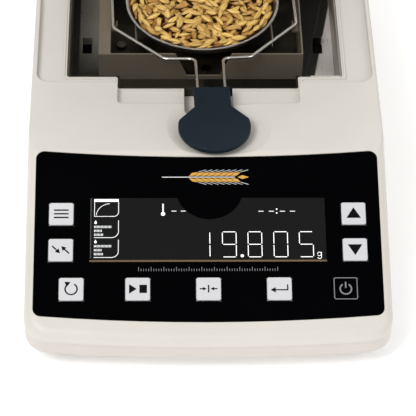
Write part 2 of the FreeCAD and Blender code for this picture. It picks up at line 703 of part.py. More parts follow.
def hood_shell():
    outer = hood_blank(0)
    inner = hood_blank(DIMENSIONS["hood_wall"])
    hinge_room = block(("-150", "150"), ("-12", "20"), ("hood_foot - 5", "-9"))
    slots = [block((f"{side} - 12", f"{side} + 12"), ("2", "20"), ("-12", "17")) for side in (-84, 84)]
    neck = block(("neck_left", "neck_right"), ("hood_nose - 5", "hood_front + 12"), ("hood_foot - 5", "-7.5"))
    vents = [block((f"{left}", f"{left} + 3"), ("-40", "-12"), ("hood_top - 5", "hood_top + 5"))
             for left in range(-60, 64, 8)]
    window = block(("-30", "30"), ("lamp_line - 11", "lamp_line + 11"), ("hood_top - 5", "hood_top + 5"))
    shell = cut(outer, inner, hinge_room, *slots, neck, *vents, window)
    subpart("hood_shell", shell, "hood")
    pane = fuse(*[block((f"-{across}", f"{across}"), (f"lamp_line - {along}", f"lamp_line + {along}"), z)
                  for across, along, z in ((29.9, 10.9, ("hood_top - 2.4", "hood_top - 0.4")),
                                           (32, 13, ("hood_top - 4", "hood_top - 2.4")))])
    subpart("hood_window", pane, "hood")
    grip = rounded(cut(block(("-40", "40"), ("hood_nose - 15", "hood_nose + 1"), ("-2", "12")),
                       block(("-32", "32"), ("hood_nose - 8", "hood_nose"), ("-5", "8"))), 2.5,
                   lambda edge: edge.BoundBox.YMax < DIMENSIONS["hood_nose"] - 14)
    behind = block(("-50", "50"), ("hood_nose", "hood_nose + 5"), ("-5", "20"))
    subpart("hood_handle", cut(grip, behind), "hood")


def heater():
    carrier = cut(block(("3.5 - hood_half", "hood_half - 3.5"), ("hood_front + 9", "-12"), ("8", "9.2")),
                  block(("-60", "60"), ("lamp_line - 54", "lamp_line + 54"), ("0", "20")))
    subpart("lamp_carrier", carrier, "hood")
    reflector = cut(block(("-66", "66"), ("lamp_line - 56", "lamp_line + 56"), ("9.2", "40")),
                    block(("-65", "65"), ("lamp_line - 55", "lamp_line + 55"), ("0", "39")),
                    block(("-30", "30"), ("lamp_line - 10", "lamp_line + 10"), ("30", "50")))
    subpart("reflector", reflector, "hood")
    lines = ("lamp_line - 26", "lamp_line + 26")
    lamps = [fuse(rod("4.5", ("-50", line, "24"), "100", "x"), rod("3", ("-56", line, "24"), "112", "x"))
             for line in lines]
    subpart("halogen_lamps", group(*lamps), "hood")
    sockets = [cut(block((f"{side} - 5", f"{side} + 5"), (f"{line} - 7", f"{line} + 7"), ("15", "38.9")),
                   rod("3.1", (f"{side} - 6", line, "24"), "12", "x"))
               for side in (-58, 58) for line in lines]
    subpart("lamp_sockets", group(*sockets), "hood")
    frame = cut(block(("-64", "64"), ("lamp_line - 58", "lamp_line + 58"), ("5", "8")),
                block(("-57", "57"), ("lamp_line - 51", "lamp_line + 51"), ("0", "10")))
    bars = [rod("1", (f"{side}", "lamp_line - 53", "6.5"), "106", "y") for side in range(-48, 49, 12)]
    subpart("guard_grid", fuse(frame, *bars), "hood")
    probe = fuse(rod("1.5", ("72", "-60", "-6"), "14"), rod("4", ("72", "-60", "4"), "4"))
    subpart("temperature_sensor", probe, "hood")


def hinge():
    arms = []
    for side in (-1, 1):
        near = f"arm_line * {side}"
        across = (f"{near} - 3.5", f"{near} + 3.5")
        knuckle = rod("6", (across[0], "0", "0"), "7", "x")
        arm = block(across, ("-34", "0"), ("-3", "6"))
        foot = block((f"{near} - 8", f"{near} + 8"), ("-40", "-13"), ("5", "8"))
        arms.append(cut(fuse(knuckle, arm, foot),
                        rod("pin_radius + pin_play", (f"{near} - 5", "0", "0"), "10", "x")))
    subpart("hood_hinge_arms", group(*arms), "hood")
    brackets = []
    pins = []
    for side in ("-arm_line", "arm_line"):
        cheeks = [block((f"{side} + {low}", f"{side} + {low + 3}"), ("hinge_line - 6", "hinge_line + 5"),
                        ("seat_floor", "hinge_level + 5")) for low in (-7, 4)]
        foot = block((f"{side} - 7", f"{side} + 7"), ("hinge_line - 6", "hinge_line + 5"),
                     ("seat_floor", "seat_floor + 3"))
        brackets.append(cut(fuse(foot, *cheeks),
                            rod("pin_radius", (f"{side} - 10", "hinge_line", "hinge_level"), "20", "x")))
        pins.append(rod("pin_radius", (f"{side} - 8", "hinge_line", "hinge_level"), "16", "x"))
    subpart("hinge_brackets", group(*brackets))
    subpart("hinge_pins", group(*pins))


# ---------------------------------------------------------------- build and export

def export():
    doc.recompute()
    for item in subparts:
        shape = item.Shape
        if item.State and any(word in ("Invalid", "Error") for word in item.State):
            raise RuntimeError(f"{item.Label}: {item.State}")
        if shape.isNull() or not shape.isValid() or shape.Volume <= 0:
            raise RuntimeError(f"{item.Label}: bad shape")
        shape.exportStep(f"parts/{item.Label}.step")
        print(f"{item.Label:22s} solids {len(shape.Solids)}  volume {shape.Volume / 1000:9.2f} cm3")


upper_housing()
base_tray()
casing_screws()
display_panel()
lcd_module()
display_board()
keys()
chamber_tub()
draught_shield()
chamber_screws()
weighing_cell()
sample_pan()
lifter()
electronics()
feet()
hood_shell()
heater()
hinge()
export()
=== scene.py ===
"""Grain moisture meter: the looks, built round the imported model. Metres throughout."""
import math
import random

import bpy
from mathutils import Matrix, Vector


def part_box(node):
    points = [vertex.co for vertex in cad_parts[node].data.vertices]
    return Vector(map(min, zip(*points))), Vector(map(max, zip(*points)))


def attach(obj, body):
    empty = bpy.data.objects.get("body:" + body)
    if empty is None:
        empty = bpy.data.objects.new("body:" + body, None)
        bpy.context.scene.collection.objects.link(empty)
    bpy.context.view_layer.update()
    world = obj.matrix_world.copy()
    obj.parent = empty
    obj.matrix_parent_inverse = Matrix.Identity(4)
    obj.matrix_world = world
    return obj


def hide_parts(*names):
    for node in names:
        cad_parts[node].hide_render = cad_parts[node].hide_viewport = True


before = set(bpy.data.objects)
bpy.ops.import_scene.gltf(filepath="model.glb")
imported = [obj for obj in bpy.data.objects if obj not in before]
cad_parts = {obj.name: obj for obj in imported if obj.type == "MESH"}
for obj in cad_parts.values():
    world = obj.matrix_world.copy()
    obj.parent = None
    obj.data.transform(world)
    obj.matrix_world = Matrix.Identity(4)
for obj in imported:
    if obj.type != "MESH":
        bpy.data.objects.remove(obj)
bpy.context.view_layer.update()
MM = 0.001


# ---------------------------------------------------------------- places, from the frame

housing_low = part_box("upper_housing")[0]
grain_low, grain_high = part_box("grain_sample")
tub_low, tub_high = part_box("chamber_tub")
REFLECTION_EDGE = 0.0643                      # from the middle to the edge of the painted reflection on the tub floor, at its front
REFLECTION_SLANT = 0.182                      # how far that edge leans outwards towards the rear

FRONT_TO_PANEL = 0.1165                 # from the casing's nose back to the panel's top corners
PANEL_TILT = math.radians(19.82)
PANEL_LEVEL = 0.070                     # height of the panel's top edge
panel_line = housing_low.y + FRONT_TO_PANEL
pan_centre = Vector(((grain_low.x + grain_high.x) / 2, (grain_low.y + grain_high.y) / 2, 0))
FILL_RADIUS = 0.0478
SURFACE_LEVEL = grain_low.z + 0.0046    # the level that most kernels lie at

ACROSS = Vector((1, 0, 0))
UP_SLOPE = Vector((0, math.cos(PANEL_TILT), math.sin(PANEL_TILT)))
OUT = Vector((0, -math.sin(PANEL_TILT), math.cos(PANEL_TILT)))
PANEL_CORNER = Vector((0, panel_line, PANEL_LEVEL))

# Millimetres on the panel: across from its middle, down the slope from its top edge, and out of it.
WINDOW_HALF = 69.6
WINDOW_TOP = 31.5
WINDOW_FOOT = 73.0
KEY_TOP = 0.6
KEY_FACE = 6.7                          # half the side of the line round the power key
KEY_CORNER = 1.0
MARK_LEVEL = 0.02                       # how far print stands off what it lies on

KEY_PLACES = {
    "key_reset": (-80, 90.5),
    "key_start_stop": (-41.3, 90.5),
    "key_tare": (0, 90.5),
    "key_enter": (41.3, 90.5),
    "key_power": (80, 90.5),
    "key_menu": (-86.5, 42.1),
    "key_arrows": (-86.5, 65.5),
    "key_up": (86.5, 42.1),
    "key_down": (86.5, 65.5),
}


def on_panel(across, down, out=0.0):
    """A point on the panel, in millimetres across, down the slope and out of it."""
    return PANEL_CORNER + (ACROSS * across - UP_SLOPE * down + OUT * out) * MM


# ---------------------------------------------------------------- materials

BRUSHED = (6, 1, 90)                    # stretches noise into the lines of rolled sheet
BRUSH_DEPTH = 0.00006
SOFT_EDGE = 0.0003                      # rounding of folded steel's edges


class Graph:
    """A short way to build a node material round one Principled shader."""

    def __init__(self, name, colour, roughness, metallic=0.0):
        self.material = bpy.data.materials.new(name)
        self.material.use_nodes = True
        self.nodes = self.material.node_tree.nodes
        self.links = self.material.node_tree.links
        self.shader = self.nodes["Principled BSDF"]
        self.shader.inputs["Base Color"].default_value = (*colour, 1)
        self.shader.inputs["Roughness"].default_value = roughness
        self.shader.inputs["Metallic"].default_value = metallic
        self.place = self.node("ShaderNodeTexCoord").outputs["Object"]

    def node(self, kind, **settings):
        node = self.nodes.new(kind)
        for name, value in settings.items():
            setattr(node, name, value)
        return node

    def noise(self, scale, detail=3.0, stretch=(1, 1, 1), roughness=0.55):
        mapping = self.node("ShaderNodeMapping")
        mapping.inputs["Scale"].default_value = stretch
        self.links.new(self.place, mapping.inputs["Vector"])
        noise = self.node("ShaderNodeTexNoise")
        noise.inputs["Scale"].default_value = scale
        noise.inputs["Detail"].default_value = detail
        noise.inputs["Roughness"].default_value = roughness
        self.links.new(mapping.outputs["Vector"], noise.inputs["Vector"])
        return noise.outputs["Fac"]

    def brushing(self, stretch=BRUSHED):
        return self.noise(70, 6, stretch, 0.7)

    def spread(self, factor, low, high, start=0.3, end=0.7):
        """Map a factor between start and end onto low to high."""
        ranged = self.node("ShaderNodeMapRange")
        ranged.inputs["From Min"].default_value = start
        ranged.inputs["From Max"].default_value = end
        ranged.inputs["To Min"].default_value = low
        ranged.inputs["To Max"].default_value = high
        self.links.new(factor, ranged.inputs["Value"])
        return ranged.outputs["Result"]

    def blend(self, factor, first, second):
        mix = self.node("ShaderNodeMix", data_type="RGBA")
        for socket, value in ((mix.inputs["A"], first), (mix.inputs["B"], second)):
            if isinstance(value, tuple):
                socket.default_value = (*value, 1)
            else:
                self.links.new(value, socket)
        self.links.new(factor, mix.inputs["Factor"])
        return mix.outputs["Result"]

    def ramp(self, value, stops):
        ramp = self.node("ShaderNodeValToRGB")
        elements = ramp.color_ramp.elements
        while len(elements) < len(stops):
            elements.new(0.5)
        for element, (at, colour) in zip(elements, stops):
            element.position = at
            element.color = (*colour, 1)
        self.links.new(value, ramp.inputs["Fac"])
        return ramp.outputs["Color"]

    def absolute(self, value):
        size = self.node("ShaderNodeMath", operation="ABSOLUTE")
        self.links.new(value, size.inputs[0])
        return size.outputs["Value"]

    def paint(self, colour):
        self.links.new(colour, self.shader.inputs["Base Color"])

    def gloss(self, roughness):
        self.links.new(roughness, self.shader.inputs["Roughness"])

    def bump(self, height, strength, distance, soften=0.0):
        bump = self.node("ShaderNodeBump")
        bump.inputs["Strength"].default_value = strength
        bump.inputs["Distance"].default_value = distance
        self.links.new(height, bump.inputs["Height"])
        if soften:
            bevel = self.node("ShaderNodeBevel", samples=4)
            bevel.inputs["Radius"].default_value = soften
            self.links.new(bevel.outputs["Normal"], bump.inputs["Normal"])
        self.links.new(bump.outputs["Normal"], self.shader.inputs["Normal"])


def plastic(name, colour, roughness, grain=2600, mottle=0.06, soften=0.0006, specular=0.5):
    """Moulded plastic: a fine spark-eroded texture and a faint cloudy unevenness."""
    graph = Graph(name, colour, roughness)
    darker = tuple(channel * (1 - mottle) for channel in colour)
    graph.paint(graph.blend(graph.spread(graph.noise(14, 4), 0, 1), darker, colour))
    graph.gloss(graph.spread(graph.noise(60, 3), roughness - 0.05, roughness + 0.06))
    graph.bump(graph.noise(grain, 2), 0.12, 0.00012, soften)
    graph.shader.inputs["Specular IOR Level"].default_value = specular
    return graph.material


def steel(name, colour, roughness, stretch=BRUSHED, amount=0.35, soften=SOFT_EDGE, relief=0.10):
    """Rolled stainless sheet: fine brush lines one way, with heat staining in broad patches."""
    graph = Graph(name, colour, roughness, 1.0)
    stained = tuple(channel * part for channel, part in zip(colour, (1, 0.93, 0.82)))
    smoke = tuple(part * colour[0] for part in (0.5, 0.42, 0.33))
    tint = graph.blend(graph.spread(graph.noise(22, 4), 0, amount), colour, stained)
    graph.paint(graph.blend(graph.spread(graph.noise(9, 3), 0, amount * 0.6), tint, smoke))
    lines = graph.brushing(stretch)
    graph.gloss(graph.spread(lines, roughness - 0.06, roughness + 0.10))
    graph.bump(lines, relief, BRUSH_DEPTH, soften)
    graph.shader.inputs["Anisotropic"].default_value = 0.4
    return graph.material


def steel_darker_below(name, colour, low_colour, floor, top):
    """Box steel, dark on its floor, in its own tone from the level top upwards."""
    graph = Graph(name, colour, 0.4, 0.5)
    height = graph.node("ShaderNodeSeparateXYZ")
    graph.links.new(graph.place, height.inputs["Vector"])
    upper_share = graph.spread(height.outputs["Z"], 0, 1, floor, top)
    browned = tuple(channel * part for channel, part in zip(colour, (0.9, 0.82, 0.72)))
    tint = graph.blend(graph.spread(graph.noise(20, 4), 0, 1), colour, browned)
    faded = tuple(channel * 0.2 for channel in browned)
    low_tone = graph.blend(graph.spread(graph.noise(38, 2), 0, 1, 0.46, 0.62), low_colour, faded)
    graph.paint(graph.blend(upper_share, low_tone, tint))
    lines = graph.brushing()
    graph.gloss(graph.spread(lines, 0.26, 0.42))
    graph.bump(lines, 0.08, BRUSH_DEPTH, SOFT_EDGE)
    return graph.material


def tub_with_painted_light(name):
    """Tub steel, its colour mostly painted light: a black band of painted shade beside the box with a thin
    painted highlight line, a bright painted reflection of the casing by the right wall, the left floor grey
    at the rear and darker towards the front with painted shade along its outer edge, and the right wall
    painted lighter than the left.
    """
    graph = Graph(name, (0.1, 0.09, 0.08), 0.35, 0.3)
    split = graph.node("ShaderNodeSeparateXYZ")
    graph.links.new(graph.place, split.inputs["Vector"])
    slant = graph.node("ShaderNodeVectorMath", operation="DOT_PRODUCT")
    graph.links.new(graph.place, slant.inputs[0])
    slant.inputs[1].default_value = (1, -REFLECTION_SLANT, 0)
    across = split.outputs["X"]
    rearwards = split.outputs["Y"]
    edge = tub_low.y * -REFLECTION_SLANT + REFLECTION_EDGE
    # Right floor: painted shade in a black band beside the box, a thin painted highlight line, a dark band,
    # then a bright painted reflection of the casing by the right wall.
    right = graph.ramp(graph.spread(slant.outputs["Value"], 0, 1, edge - 0.010, edge + 0.002),
                       [(0.30, (0.003, 0.003, 0.002)),
                        (0.34, (0.055, 0.052, 0.046)),
                        (0.39, (0.006, 0.005, 0.004)),
                        (0.79, (0.014, 0.012, 0.010)),
                        (0.86, (0.85, 0.79, 0.75))])
    # Left floor: grey at the rear and darker towards the front, with a black band of painted shade along its
    # outer edge where it meets the wall.
    left = graph.blend(graph.spread(rearwards, 0, 1, tub_low.y + 0.044, tub_low.y + 0.074),
                       (0.026, 0.022, 0.015), (0.29, 0.275, 0.24))
    left = graph.blend(graph.spread(across, 0, 1, tub_low.x + 0.0052, tub_low.x + 0.0062),
                       (0.004, 0.003, 0.002), left)
    floor = graph.blend(graph.spread(across, 0, 1, -0.001, 0.001), left, right)
    # Walls: the right one painted lighter than the left, as lit from the left.
    walls_painted_lit = graph.blend(graph.spread(across, 0, 1, -0.001, 0.001), (0.10, 0.095, 0.075), (0.30, 0.27, 0.23))
    inside = graph.spread(graph.absolute(across), 1, 0, tub_high.x - 0.0014, tub_high.x - 0.0010)
    graph.paint(graph.blend(graph.spread(graph.noise(25, 3), 0, 0.35), graph.blend(inside, walls_painted_lit, floor),
                            (0.02, 0.018, 0.014)))
    lines = graph.brushing()
    graph.gloss(graph.spread(lines, 0.24, 0.38))
    graph.bump(lines, 0.08, BRUSH_DEPTH, SOFT_EDGE)
    return graph.material


def glow(name, colour, strength):
    """Lit liquid-crystal segments, a little uneven in brightness."""
    graph = Graph(name, colour, 0.6)
    graph.shader.inputs["Emission Color"].default_value = (*colour, 1)
    level = graph.spread(graph.noise(180, 2), strength * 0.85, strength)
    graph.links.new(level, graph.shader.inputs["Emission Strength"])
    return graph.material


KERNEL_ATTRIBUTES = ("shade", "along", "rib", "rise")


def kernel_husk():
    """Cereal husk: golden, ribbed lengthwise, in a tone of its own per kernel with the lower layers painted
    darker as painted shade, darker at the ends, and with painted shade on each kernel's lower side.
    """
    graph = Graph("kernel_husk", (0.6, 0.33, 0.07), 0.36)
    shade, along, rib, rise = (graph.node("ShaderNodeAttribute", attribute_name=name).outputs["Fac"]
                               for name in KERNEL_ATTRIBUTES)
    # The per-kernel value mixes random tone with painted shade that darkens the lower layers.
    toned_and_shaded = graph.blend(shade, (0.38, 0.145, 0.014), (1.0, 0.68, 0.19))
    ribbed = graph.blend(graph.spread(rib, 0.42, 0, 0, 1), toned_and_shaded, (0.26, 0.09, 0.012))
    tipped = graph.blend(graph.spread(along, 0, 0.6, 0.74, 1.0), ribbed, (0.14, 0.045, 0.008))
    flecked = graph.blend(graph.spread(graph.noise(700, 3), 0, 0.3, 0.52, 0.8), tipped, (1.0, 0.74, 0.33))
    # Painted shade: each kernel darkens towards its lower side, where it meets the kernels round it.
    graph.paint(graph.blend(graph.spread(rise, 0, 1, -0.4, 0.3), (0.09, 0.030, 0.004), flecked))
    graph.bump(graph.noise(1500, 4), 0.3, 0.0002)
    graph.shader.inputs["Sheen Weight"].default_value = 0.05
    return graph.material


def circuit_board():
    graph = Graph("circuit_board", (0.01, 0.09, 0.03), 0.35)
    tracks = graph.node("ShaderNodeTexBrick")
    tracks.inputs["Scale"].default_value = 160
    tracks.inputs["Mortar Size"].default_value = 0.06
    tracks.inputs["Color1"].default_value = (0.008, 0.075, 0.025, 1)
    tracks.inputs["Color2"].default_value = (0.012, 0.10, 0.035, 1)
    tracks.inputs["Mortar"].default_value = (0.03, 0.17, 0.06, 1)
    graph.links.new(graph.place, tracks.inputs["Vector"])
    graph.paint(tracks.outputs["Color"])
    graph.bump(tracks.outputs["Fac"], 0.2, 0.0001)
    return graph.material


def clear(name, colour):
    roughness = 0.03
    graph = Graph(name, colour, roughness)
    graph.shader.inputs["Transmission Weight"].default_value = 1.0
    graph.gloss(graph.spread(graph.noise(200, 2), roughness, roughness + 0.05))
    return graph.material


cream = plastic("cream_shell", (0.695, 0.662, 0.605), 0.42)
cream_tray = plastic("cream_tray", (0.665, 0.622, 0.575), 0.46)
panel_black = plastic("panel_black", (0.0008, 0.0009, 0.0013), 0.22, grain=900, mottle=0.3, soften=0,
                      specular=0.012)
window_grey = plastic("window_grey", (0.0115, 0.0115, 0.0115), 0.3, grain=900, mottle=0.12, soften=0,
                      specular=0.03)
key_plastic = plastic("key_plastic", (0.645, 0.645, 0.662), 0.5, grain=1300, soften=0.0004)
print_black = plastic("print_black", (0.004, 0.004, 0.005), 0.5, specular=0.05, soften=0)
print_white = plastic("print_white", (0.80, 0.80, 0.80), 0.5, soften=0)
print_grey = plastic("print_grey", (0.24, 0.24, 0.25), 0.5, specular=0.1, soften=0)
print_gold = plastic("print_gold", (0.70, 0.36, 0.06), 0.5, soften=0)
edge_gold = plastic("edge_gold", (0.17, 0.115, 0.066), 0.4, specular=0.2, soften=0)
segment_white = glow("segment_white", (0.9, 0.92, 0.92), 0.66)
segment_dim = glow("segment_dim", (0.8, 0.82, 0.82), 0.26)
handle_blue = plastic("handle_blue", (0.0085, 0.0165, 0.026), 0.5, grain=1900, mottle=0.18, soften=0.0007,
                      specular=0.16)
foot_rubber = plastic("foot_rubber", (0.02, 0.02, 0.021), 0.8, grain=1200, mottle=0.3)
nylon_black = plastic("nylon_black", (0.012, 0.012, 0.013), 0.45, mottle=0.3)
ceramic = plastic("ceramic", (0.72, 0.70, 0.65), 0.6, grain=900, mottle=0.15)
steel_shield = steel_darker_below("steel_shield", (0.265, 0.232, 0.18), (0.006, 0.006, 0.005), 0.0275, 0.037)
steel_tub = tub_with_painted_light("steel_tub")
steel_screw = steel("steel_screw", (0.115, 0.10, 0.09), 0.16, relief=0.03)
steel_bright = steel("steel_bright", (0.78, 0.765, 0.73), 0.16, stretch=(30, 30, 30), amount=0.15,
                     relief=0.02)
steel_dull = steel("steel_dull", (0.42, 0.41, 0.39), 0.32, amount=0.25)
steel_mirror = steel("steel_mirror", (0.80, 0.79, 0.76), 0.06, amount=0.1)
pan_foil = steel("pan_foil", (0.80, 0.79, 0.77), 0.36, stretch=(12, 12, 3), amount=0.1, soften=0,
                 relief=0.005)
aluminium = steel("aluminium", (0.66, 0.66, 0.67), 0.35, amount=0.1)
board_green = circuit_board()
board_black = plastic("board_black", (0.006, 0.006, 0.007), 0.5, mottle=0.3)
husk = kernel_husk()
husk_shadow = plastic("husk_shadow", (0.045, 0.016, 0.004), 0.8, grain=700, mottle=0.5, soften=0,
                      specular=0.1)
quartz = clear("quartz", (0.95, 0.95, 0.95))
window_glass = clear("window_glass", (0.80, 0.84, 0.84))
vial_green = clear("vial_green", (0.45, 0.75, 0.20))

NODE_LOOKS = {
    cream: ["upper_housing", "hood_shell"],
    cream_tray: ["base_tray"],
    panel_black: ["display_panel", "key_power"],
    window_grey: ["display_window", "lcd_module"],
    key_plastic: [key for key in KEY_PLACES if key != "key_power"],
    handle_blue: ["lifter_handle", "hood_handle"],
    foot_rubber: ["front_foot_left", "front_foot_right", "rear_foot_left", "rear_foot_right"],
    nylon_black: ["mains_inlet", "foot_wheel_left", "foot_wheel_right", "key_switches", "hood_sensor"],
    ceramic: ["lamp_sockets"],
    steel_shield: ["draught_shield"],
    steel_tub: ["chamber_tub"],
    steel_bright: ["lifter_wire", "guard_grid", "hinge_pins", "temperature_sensor"],
    steel_dull: ["hinge_brackets", "hood_hinge_arms", "lamp_carrier", "casing_screws",
                 "serial_port", "usb_port", "pan_support"],
    steel_screw: ["chamber_screws"],
    steel_mirror: ["reflector"],
    pan_foil: ["sample_pan"],
    aluminium: ["load_cell", "cell_bracket"],
    board_green: ["display_board", "main_board"],
    board_black: ["power_supply_board"],
    husk_shadow: ["grain_sample"],
    quartz: ["halogen_lamps"],
    window_glass: ["hood_window"],
    vial_green: ["bubble_level"],
}
for material, nodes in NODE_LOOKS.items():
    for node in nodes:
        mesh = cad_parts[node].data
        mesh.materials.clear()
        mesh.materials.append(material)


# ---------------------------------------------------------------- mesh helpers

def piece(name, vertices, faces, material, body, smooth=False):
    """A new mesh piece that rides on a body."""
    mesh = bpy.data.meshes.new(name)
    mesh.from_pydata([tuple(vertex) for vertex in vertices], [], faces)
    mesh.materials.append(material)
    mesh.validate()
    mesh.update()
    if smooth:
        mesh.shade_smooth()
    obj = bpy.data.objects.new(name, mesh)
    bpy.context.scene.collection.objects.link(obj)
    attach(obj, body)
    return obj


class Print:
    """Flat marks on the panel or on a key: closed thin shapes, drawn in millimetres."""

    def __init__(self, origin=(0, 0), level=0.0, thick=0.05):
        self.origin = origin
        self.level = level
        self.thick = thick
        self.vertices = []
        self.faces = []

    def shape(self, points):
        """A closed outline, extruded by the print's thickness."""
        first = len(self.vertices)
        count = len(points)
        area = sum(a[0] * b[1] - b[0] * a[1] for a, b in zip(points, points[1:] + points[:1]))
        if area > 0:
            points = points[::-1]
        for out in (self.level, self.level + self.thick):
            for across, down in points:
                self.vertices.append(on_panel(self.origin[0] + across, self.origin[1] + down, out))
        self.faces.append([first + i for i in range(count)][::-1])
        self.faces.append([first + count + i for i in range(count)])
        for i in range(count):
            j = (i + 1) % count
            self.faces.append([first + i, first + j, first + count + j, first + count + i])

    def stroke(self, points, width):
        """A line of even width through the points, with square ends."""
        half = width / 2
        left = []
        right = []
        for i, here in enumerate(points):
            before = points[max(i - 1, 0)]
            after = points[min(i + 1, len(points) - 1)]
            along_in = Vector(here) - Vector(before) if i else Vector(after) - Vector(here)
            along_out = Vector(after) - Vector(here) if i < len(points) - 1 else along_in
            normal_in = Vector((-along_in.y, along_in.x)).normalized()
            normal_out = Vector((-along_out.y, along_out.x)).normalized()
            mitre = (normal_in + normal_out).normalized()
            reach = half / max(mitre.dot(normal_in), 0.35)
            left.append((here[0] + mitre.x * reach, here[1] + mitre.y * reach))
            right.append((here[0] - mitre.x * reach, here[1] - mitre.y * reach))
        self.shape(left + right[::-1])

    def disc(self, centre, radius):
        self.shape(arc(centre, radius, 0, 360, 20)[:-1])

    def bar(self, left, top, right, foot):
        self.shape([(left, top), (right, top), (right, foot), (left, foot)])

    def drop(self, centre, radius):
        """A water drop with its point up."""
        x, y = centre
        self.shape([(x, y - 2.3 * radius)] + arc(centre, radius, -35, 215, 12))

    def make(self, name, material, body):
        return piece(name, self.vertices, self.faces, material, body)


def arc(centre, radius, start, end, steps):
    """Points round an arc; 0 degrees is to the right and 90 is down the slope."""
    turn = [math.radians(start + (end - start) * i / steps) for i in range(steps + 1)]
    return [(centre[0] + radius * math.cos(a), centre[1] + radius * math.sin(a)) for a in turn]


# ---------------------------------------------------------------- display

SEGMENTS = {"1": "bc", "9": "abcdfg", "8": "abcdefg", "0": "abcdef", "5": "acdfg"}
READING = (("1", -7.0), ("9", 8.5), ("8", 23.6), ("0", 38.8), ("5", 53.9))     # figures and their left edges
FIGURE_TOP = 53.8
FIGURE_SIZE = (8.1, 16.2)
SEGMENT_WIDTH = 0.46
SEGMENT_GAP = 0.5
LIST_LEFT, LIST_RIGHT = -67.1, -52.7
LIST_ROW = 2.55
LETTER_STEP = 0.8
THIN_LINE, FAINT_LINE = 0.26, 0.42
RULE_FOOT = 79.0


def seven_segment(marks, figure, left):
    """One figure of separate thin segments."""
    top = FIGURE_TOP
    right = left + FIGURE_SIZE[0]
    middle = top + FIGURE_SIZE[1] / 2
    foot = top + FIGURE_SIZE[1]
    gap = SEGMENT_GAP
    lines = {
        "a": ((left + gap, top), (right - gap, top)),
        "b": ((right, top + gap), (right, middle - gap)),
        "c": ((right, middle + gap), (right, foot - gap)),
        "d": ((left + gap, foot), (right - gap, foot)),
        "e": ((left, middle + gap), (left, foot - gap)),
        "f": ((left, top + gap), (left, middle - gap)),
        "g": ((left + gap, middle), (right - gap, middle)),
    }
    for name in SEGMENTS[figure]:
        marks.stroke(list(lines[name]), SEGMENT_WIDTH)


def display_marks():
    """The reading with its point and unit, and the temperature and time dashes above it."""
    marks = Print(level=MARK_LEVEL)
    for figure, left in READING:
        seven_segment(marks, figure, left)
    marks.disc((20.0, 69.3), 0.95)
    # the unit: a small round letter form with a tail
    marks.stroke(arc((65.4, 68.2), 1.15, -180, 150, 14), 0.34)
    marks.stroke([(66.6, 66.9), (66.6, 70.0)] + arc((65.4, 70.0), 1.2, 20, 160, 6), 0.34)
    marks.disc((-26.4, 42.0), 1.25)
    for down in (39.0, 41.5):
        marks.bar(40.55, down - 0.4, 41.35, down + 0.4)
    marks.make("lcd_reading", segment_white, "housing")
    faint = Print(level=MARK_LEVEL)
    faint.bar(-26.85, 35.4, -25.95, 41.0)
    for left in (-21.4, -15.9):
        faint.bar(left, 39.95, left + 2.9, 40.45)
    for left in (30.1, 36.3, 42.8, 48.8):
        faint.bar(left, 40.15, left + 3.0, 40.65)
    faint.make("lcd_dashes", segment_dim, "housing")


def display_column():
    """The three boxes at the display's left: a heating curve and two lists with a drop."""
    marks = Print(level=MARK_LEVEL)
    faint = Print(level=MARK_LEVEL)
    left, right = LIST_LEFT, LIST_RIGHT
    marks.bar(left, 32.3, right, 34.0)
    marks.stroke([(left + 0.2, 34.0), (left + 0.2, 43.6), (left + 9.4, 43.6)], THIN_LINE)
    faint.stroke([(left + 9.4, 43.6), (right - 3.0, 43.6)] + arc((right - 2.8, 40.8), 2.8, 90, 0, 8)[1:]
                 + [(right, 34.0)], FAINT_LINE)
    marks.stroke(arc((left + 9.4, 43.5), 8.2, 184, 250, 12), THIN_LINE)
    faint.stroke(arc((left + 9.4, 43.5), 8.2, 250, 268, 4), FAINT_LINE)
    for top, foot in ((46.2, 57.4), (58.7, 70.2)):
        faint.stroke([(left, foot), (right - 4.0, foot)] + arc((right - 4.0, foot - 4.0), 4.0, 90, 0, 8)[1:]
                     + [(right, top)], FAINT_LINE)
        marks.drop((left + 0.9, top + 1.6), 0.72)
        for row, length in enumerate((11.2, 5.4, 6.2)):
            down = top + 3.5 + row * LIST_ROW
            for step in range(int(length / LETTER_STEP)):
                start = left + 0.1 + step * LETTER_STEP
                faint.bar(start, down, start + 0.42, down + 1.45)
    marks.make("lcd_lists", segment_white, "housing")
    faint.make("lcd_outlines", segment_dim, "housing")


def display_masks():
    """Black print that bulges over the window's top, the window's thin lower edge, and its left tick line."""
    lobe = Print(level=0.0, thick=0.045)
    top = WINDOW_TOP + 0.1
    centre, radius = (1.2, 25.5), 20.0
    reach = math.degrees(math.asin((top - centre[1]) / radius))
    lobe.shape(arc(centre, radius, reach, 180 - reach, 40))
    lobe.make("window_mask", panel_black, "housing")
    edge = Print(level=0.0, thick=0.3)
    edge.bar(-WINDOW_HALF, WINDOW_FOOT - 0.95, WINDOW_HALF, WINDOW_FOOT + 0.05)
    edge.make("window_edge", edge_gold, "housing")
    ticks = Print(level=0.01)
    for step in range(46):
        down = WINDOW_TOP + 0.5 + step * 0.85
        ticks.bar(-69.2, down, -68.75, down + 0.3)
    ticks.make("window_ticks", print_grey, "housing")


